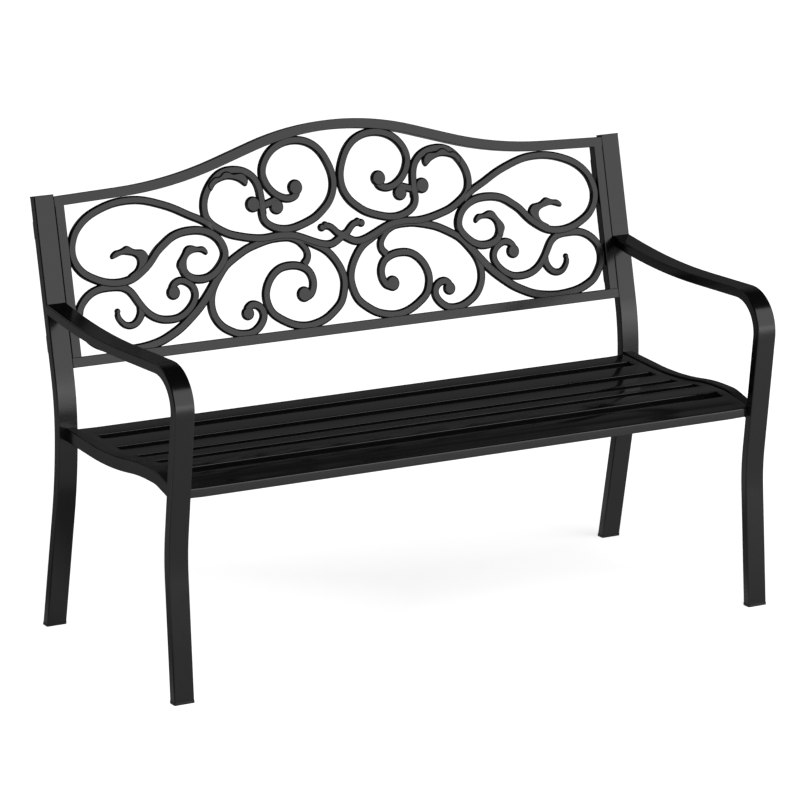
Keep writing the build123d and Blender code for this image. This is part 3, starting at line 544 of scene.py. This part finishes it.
# Bend radii of the slats' long edges, the sheet's outer edges, the nose and the slots' ends
SLAT_REAR_ROLL, SLAT_FRONT_ROLL = 3.0, 1.2
EDGE_ROLL, NOSE_ROLL, END_ROLL = 3.0, 2.0, 3.2

# Depths of the edges that are turned down, and the slats' gentle crown, which ends before the lip
SLOT_FLANGE, REAR_FLANGE, LIP_HEIGHT, SIDE_FLANGE = 16.0, 10.0, 17.0, 19.0
SLAT_CROWN, CROWN_END_Y, CROWN_FADE = 1.1, -250.0, 40.0
CREASE_ANGLE = radians(35.0)

# Mesh lines at these distances inside a slot's edge, beyond its roll on the slat, and before the last slot
CORNER_LINES, SLAT_LINES = (0.8, 2.0, SLOT_CORNER), (4.0, 9.0, 14.0)
LIP_LINES = [3.0 * step for step in range(17)]
NOSE_LINES = (NOSE_HALF_WIDTH, 591.0, 588.0)
LINE_SPACING, LEAST_SPACING, BEND_STEPS = 40.0, 0.02, 24

# Distances to a slot, below zero inside it: places kept, faces kept, places pulled to its round corners, and
# open edges that belong to it. Then the distance of open edges that belong to the rear edge or the nose
KEPT_PLACE, KEPT_FACE, PULLED_PLACE, SLOT_EDGE = -0.9, -0.2, 0.3, 1.0
OUTER_EDGE = 0.5


def seat_profile():
    """Points (y, z) along the top of the sheet, from the rear edge to the nose."""
    points = [SEAT_LINE[0]]
    start = Vector(SEAT_LINE[0])
    for corner, following, radius in zip(SEAT_LINE[1:], SEAT_LINE[2:], SEAT_RADII):
        corner, following = Vector(corner), Vector(following)
        run_in, run_out = (corner - start).normalized(), (following - corner).normalized()
        turn = run_in.angle_signed(run_out)
        reach = radius * abs(sin(turn / 2) / cos(turn / 2))
        arc_start, arc_end = corner - run_in * reach, corner + run_out * reach
        for step in range(BEND_STEPS + 1):
            share = step / BEND_STEPS
            points.append(tuple(
                arc_start * (1 - share) ** 2 + corner * 2 * share * (1 - share) + arc_end * share ** 2
            ))
        start = arc_end
    points.append(SEAT_LINE[-1])
    return points


SEAT_PROFILE = seat_profile()


def seat_top(y):
    """Height of the sheet's top at a place between rear edge and nose."""
    for (y0, z0), (y1, z1) in zip(SEAT_PROFILE, SEAT_PROFILE[1:]):
        if y >= y1:
            return z0 + (z1 - z0) * (y0 - y) / (y0 - y1) if y0 > y1 else z0
    return SEAT_PROFILE[-1][1]


def rolled(distance, radius):
    """Drop of a rolled edge at a distance from where it turns straight down."""
    if distance >= radius:
        return 0.0
    return radius - (radius * radius - (radius - distance) ** 2) ** 0.5


def roll_steps(radius):
    """Places of the mesh lines over a rolled edge, every 15 degrees of its bend."""
    return [radius * (1 - sin(radians(15.0 * step))) for step in range(7)]


ys = {SEAT_REAR_Y, SEAT_NOSE_Y, NOTCH_Y}
ys.update(SEAT_REAR_Y - d for d in roll_steps(EDGE_ROLL))
ys.update(SEAT_NOSE_Y + d for d in roll_steps(NOSE_ROLL))
for middle in SLOT_MIDDLES:
    for side, roll in ((1, SLAT_FRONT_ROLL), (-1, SLAT_REAR_ROLL)):
        edge = middle + side * SLOT_HALF_WIDTH
        ys.update(edge + side * d for d in roll_steps(roll))
        ys.update(edge - side * d for d in CORNER_LINES)
        ys.update(edge + side * (roll + d) for d in SLAT_LINES)
ys.update(SLOT_MIDDLES[-1] - SLOT_HALF_WIDTH - SLAT_REAR_ROLL - d for d in LIP_LINES)
ys = sorted(ys)
ys = [y for i, y in enumerate(ys) if i == 0 or y - ys[i - 1] > LEAST_SPACING]
xs = {LINE_SPACING * step for step in range(-14, 15)}
for side in (-1, 1):
    xs.update(side * (SEAT_HALF_WIDTH - d) for d in roll_steps(EDGE_ROLL))
    xs.update(side * (SLOT_HALF_LENGTH + d) for d in roll_steps(END_ROLL))
    xs.update(side * (SLOT_HALF_LENGTH - d) for d in CORNER_LINES)
    xs.update(side * x for x in NOSE_LINES)
xs = sorted(xs)


def slot_distance(x, y):
    """Distance to the nearest slot, below zero inside it, with rounded slot corners."""
    nearest = float("inf")
    for middle in SLOT_MIDDLES:
        across = abs(x) - SLOT_HALF_LENGTH + SLOT_CORNER
        along = abs(y - middle) - SLOT_HALF_WIDTH + SLOT_CORNER
        outside = (max(across, 0.0) ** 2 + max(along, 0.0) ** 2) ** 0.5
        nearest = min(nearest, outside + min(max(across, along), 0.0) - SLOT_CORNER)
    return nearest


def nearest_slot(y):
    return min(SLOT_MIDDLES, key=lambda middle: abs(middle - y))


def slot_roll(y):
    """Bend radius round the nearest slot: small behind it, large before it, blended along its ends."""
    share = min(max((nearest_slot(y) + SLOT_HALF_WIDTH - y) / (2 * SLOT_HALF_WIDTH), 0.0), 1.0)
    return SLAT_FRONT_ROLL + (SLAT_REAR_ROLL - SLAT_FRONT_ROLL) * share


def slat_crown(y):
    """How far the top lies under a slat's crown: nothing on its middle, all of it at its long edges."""
    bounds = [middle + side * SLOT_HALF_WIDTH for middle in SLOT_MIDDLES for side in (1, -1)]
    bounds = [SEAT_REAR_Y] + bounds + [CROWN_END_Y]
    for rear, front in zip(bounds[0::2], bounds[1::2]):
        if front <= y <= rear:
            share = (y - front) / (rear - front)
            return SLAT_CROWN * (1 - 4 * share * (1 - share))
    return SLAT_CROWN


def flange_depth(x, y):
    """Length by which an open edge of the sheet is turned down, less the roll that leads into it."""
    if slot_distance(x, y) < SLOT_EDGE:
        return SLOT_FLANGE - slot_roll(y)
    if y > SEAT_REAR_Y - OUTER_EDGE:
        return REAR_FLANGE - EDGE_ROLL
    if y < SEAT_NOSE_Y + OUTER_EDGE:
        return LIP_HEIGHT - NOSE_ROLL
    return SIDE_FLANGE - EDGE_ROLL


def pulled_to_corner(x, y):
    """Move a place near a slot's rounded corner onto it."""
    if slot_distance(x, y) >= PULLED_PLACE or abs(x) <= SLOT_HALF_LENGTH - SLOT_CORNER:
        return x, y
    middle = nearest_slot(y)
    centre = Vector((
        (SLOT_HALF_LENGTH - SLOT_CORNER) * (1 if x > 0 else -1),
        middle + (SLOT_HALF_WIDTH - SLOT_CORNER) * (1 if y > middle else -1),
    ))
    away = Vector((x, y)) - centre
    if abs(y - middle) <= SLOT_HALF_WIDTH - SLOT_CORNER or away.length <= 0.1:
        return x, y
    return tuple(centre + away.normalized() * SLOT_CORNER)


bm = bmesh.new()
grid = {}
for i, x in enumerate(xs):
    for j, y in enumerate(ys):
        if slot_distance(x, y) < KEPT_PLACE:
            continue
        px, py = pulled_to_corner(x, y)
        drop = max(
            rolled(max(slot_distance(px, py), 0.0), slot_roll(py)),
            rolled(SEAT_HALF_WIDTH - abs(x), EDGE_ROLL),
            rolled(SEAT_REAR_Y - y, EDGE_ROLL),
            rolled(y - SEAT_NOSE_Y, NOSE_ROLL),
        )
        drop += slat_crown(py) * min((SEAT_HALF_WIDTH - abs(x)) / CROWN_FADE, 1.0)
        grid[i, j] = bm.verts.new((px * MM, py * MM, (seat_top(py) - drop) * MM))
for i in range(len(xs) - 1):
    for j in range(len(ys) - 1):
        x, y = (xs[i] + xs[i + 1]) / 2, (ys[j] + ys[j + 1]) / 2
        if abs(x) > NOSE_HALF_WIDTH and y < NOTCH_Y:
            continue
        corners = [grid.get(k) for k in ((i, j), (i + 1, j), (i + 1, j + 1), (i, j + 1))]
        if slot_distance(x, y) > KEPT_FACE and None not in corners:
            bm.faces.new(corners)
bmesh.ops.delete(bm, geom=[vert for vert in bm.verts if not vert.link_faces], context="VERTS")
open_edges = [edge for edge in bm.edges if len(edge.link_faces) == 1]
for vert in bmesh.ops.extrude_edge_only(bm, edges=open_edges)["geom"]:
    if isinstance(vert, bmesh.types.BMVert):
        vert.co.z -= flange_depth(vert.co.x / MM, vert.co.y / MM) * MM
bmesh.ops.recalc_face_normals(bm, faces=bm.faces)
seat = add_piece("slotted_seat", bm, seat_coat)
sheet = seat.modifiers.new("sheet", "SOLIDIFY")
sheet.thickness = SHEET * MM
sheet.offset = -1.0
creases = seat.modifiers.new("creases", "EDGE_SPLIT")
creases.split_angle = CREASE_ANGLE
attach(seat, "root")
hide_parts("seat_panel")


# Floor, world, lamps and camera

WHITE = (1.0, 1.0, 1.0, 1.0)

bpy.ops.mesh.primitive_circle_add(vertices=96, radius=40.0, fill_type="NGON", location=(0, 0, 0))
floor = bpy.context.object
floor.name = "studio_floor"
# Floor material: grey mottle, a white glow for the camera with a painted shadow, and a painted reflection
# glow
floor_with_painted_light, nodes, links, shader = new_material("floor_with_painted_light")
coords = nodes.new("ShaderNodeTexCoord")
mottle = noise(nodes, links, coords, 3.0, 3.0, 0.5)
floor_tones = [(0.3, (0.78, 0.78, 0.78)), (0.7, (0.80, 0.80, 0.80))]
links.new(colour_ramp(nodes, links, mottle.outputs["Fac"], floor_tones), shader.inputs["Base Color"])
links.new(mapped(nodes, links, mottle.outputs["Fac"], 0.55, 0.62), shader.inputs["Roughness"])
shader.inputs["Specular IOR Level"].default_value = 0.0
# The floor glows white for the camera, with a painted shadow: the glow is fainter in a box under the bench,
# centred towards its +X end and the rear, besides the lamps' own shadow
painted_shadow_middle = nodes.new("ShaderNodeVectorMath")
painted_shadow_middle.operation = "SUBTRACT"
painted_shadow_middle.inputs[1].default_value = (0.28, 0.12, 0.0)
links.new(coords.outputs["Object"], painted_shadow_middle.inputs[0])
from_painted_shadow = absolute_parts(nodes, links, painted_shadow_middle.outputs["Vector"])
white_glow_with_painted_shadow = joined(
    nodes, links, "MAXIMUM",
    mapped(nodes, links, from_painted_shadow.outputs["X"], 0.74, 1.0, 0.20, 0.85),
    mapped(nodes, links, from_painted_shadow.outputs["Y"], 0.74, 1.0, 0.06, 0.56),
)
# Reflections see only part of that glow, as a painted reflection: the coat mirrors a dim studio, and the
# floor glows for glossy rays alone, brightest far to the left, with painted shade that dims it behind the
# bench and darkens it under the bench
place = nodes.new("ShaderNodeSeparateXYZ")
links.new(coords.outputs["Object"], place.inputs["Vector"])
from_bench = absolute_parts(nodes, links, coords.outputs["Object"])
left_glow = mapped(nodes, links, place.outputs["X"], 0.55, 0.0, -1.5, -0.9)
right_glow = mapped(nodes, links, place.outputs["X"], 0.0, 0.335, -0.74, -0.60)
painted_rear_fade = mapped(nodes, links, place.outputs["Y"], 1.0, 0.2, 0.45, 0.90)
painted_bench_shade_share = joined(
    nodes, links, "MAXIMUM",
    mapped(nodes, links, from_bench.outputs["X"], 0.0, 1.0, 0.46, 0.56),
    mapped(nodes, links, from_bench.outputs["Y"], 0.0, 1.0, 0.26, 0.36),
)
painted_reflection_glow = joined(nodes, links, "MAXIMUM", left_glow, right_glow)
painted_reflection_glow = joined(nodes, links, "MULTIPLY", painted_reflection_glow, painted_rear_fade)
painted_reflection_glow = joined(nodes, links, "MULTIPLY", painted_reflection_glow, painted_bench_shade_share)
path = nodes.new("ShaderNodeLightPath")
direct = joined(nodes, links, "MAXIMUM", path.outputs["Is Camera Ray"], path.outputs["Is Transmission Ray"])
strength = joined(
    nodes, links, "ADD",
    joined(nodes, links, "MULTIPLY", direct, white_glow_with_painted_shadow),
    joined(nodes, links, "MULTIPLY", path.outputs["Is Glossy Ray"], painted_reflection_glow),
)
glow = nodes.new("ShaderNodeEmission")
glow.inputs["Color"].default_value = WHITE
links.new(strength, glow.inputs["Strength"])
both = nodes.new("ShaderNodeAddShader")
links.new(shader.outputs["BSDF"], both.inputs[0])
links.new(glow.outputs["Emission"], both.inputs[1])
links.new(both.outputs["Shader"], nodes["Material Output"].inputs["Surface"])
floor.data.materials.append(floor_with_painted_light)

# The camera sees white behind the bench, and all other rays see the greys of a dim studio round it
world = bpy.data.worlds.new("studio_world")
scene.world = world
world.use_nodes = True
nodes = world.node_tree.nodes
links = world.node_tree.links
nodes.clear()
output = nodes.new("ShaderNodeOutputWorld")
fill = nodes.new("ShaderNodeBackground")
sky = nodes.new("ShaderNodeTexCoord")
height = nodes.new("ShaderNodeSeparateXYZ")
links.new(sky.outputs["Generated"], height.inputs["Vector"])
# Each grey is at the sine of its height over the horizon
studio_greys = [(0.0, 0.03), (0.12, 0.045), (0.27, 0.095), (0.56, 0.11), (0.72, 0.012), (0.88, 0.0)]
greys = [(sine, (grey,) * 3) for sine, grey in studio_greys]
studio = colour_ramp(nodes, links, height.outputs["Z"], greys)
links.new(studio, fill.inputs["Color"])
white = nodes.new("ShaderNodeBackground")
white.inputs["Color"].default_value = WHITE
white.inputs["Strength"].default_value = 1.0
path = nodes.new("ShaderNodeLightPath")
mix = nodes.new("ShaderNodeMixShader")
direct = joined(nodes, links, "MAXIMUM", path.outputs["Is Camera Ray"], path.outputs["Is Transmission Ray"])
links.new(direct, mix.inputs["Fac"])
links.new(fill.outputs["Background"], mix.inputs[1])
links.new(white.outputs["Background"], mix.inputs[2])
links.new(mix.outputs["Shader"], output.inputs["Surface"])

LAMP_TARGET = Vector((0.0, 0.0, 0.5))


def softbox(name, azimuth, elevation, distance, width, height, power):
    """Area lamp on a sphere round the bench. Azimuth 0 is in front of it (-Y), 90 is at its +X end."""
    a, e = radians(azimuth), radians(elevation)
    place = LAMP_TARGET + distance * Vector((sin(a) * cos(e), -cos(a) * cos(e), sin(e)))
    data = bpy.data.lights.new(name, "AREA")
    data.shape = "RECTANGLE"
    data.size = width
    data.size_y = height
    data.energy = power
    lamp = bpy.data.objects.new(name, data)
    lamp.location = place
    lamp.rotation_euler = (LAMP_TARGET - place).to_track_quat("-Z", "Y").to_euler()
    scene.collection.objects.link(lamp)


softbox("key", 30.0, 20.0, 5.0, 8.0, 4.6, 210.0)
softbox("low_front", 30.0, 4.0, 5.0, 6.0, 0.6, 12.0)
softbox("back_fill", -140.0, 40.0, 6.0, 5.0, 3.0, 26.0)

# The photograph's camera, fitted to mirrored pairs of corners of the bench
camera_place = Vector((-4.15029, -7.09931, 2.62013))
azimuth, elevation, roll = radians(30.276), radians(15.030), radians(0.701)
forward = Vector((sin(azimuth) * cos(elevation), cos(azimuth) * cos(elevation), -sin(elevation)))
right = Vector((cos(azimuth), -sin(azimuth), 0.0))
up = right.cross(forward)
right, up = cos(roll) * right + sin(roll) * up, cos(roll) * up - sin(roll) * right
camera_data = bpy.data.cameras.new("camera")
camera_data.sensor_width = 36.0
camera_data.lens = 204.58
camera_data.dof.use_dof = False
camera = bpy.data.objects.new("camera", camera_data)
turn = Matrix((right, up, -forward)).transposed()
camera.matrix_world = Matrix.Translation(camera_place) @ turn.to_4x4()
scene.collection.objects.link(camera)
scene.camera = camera
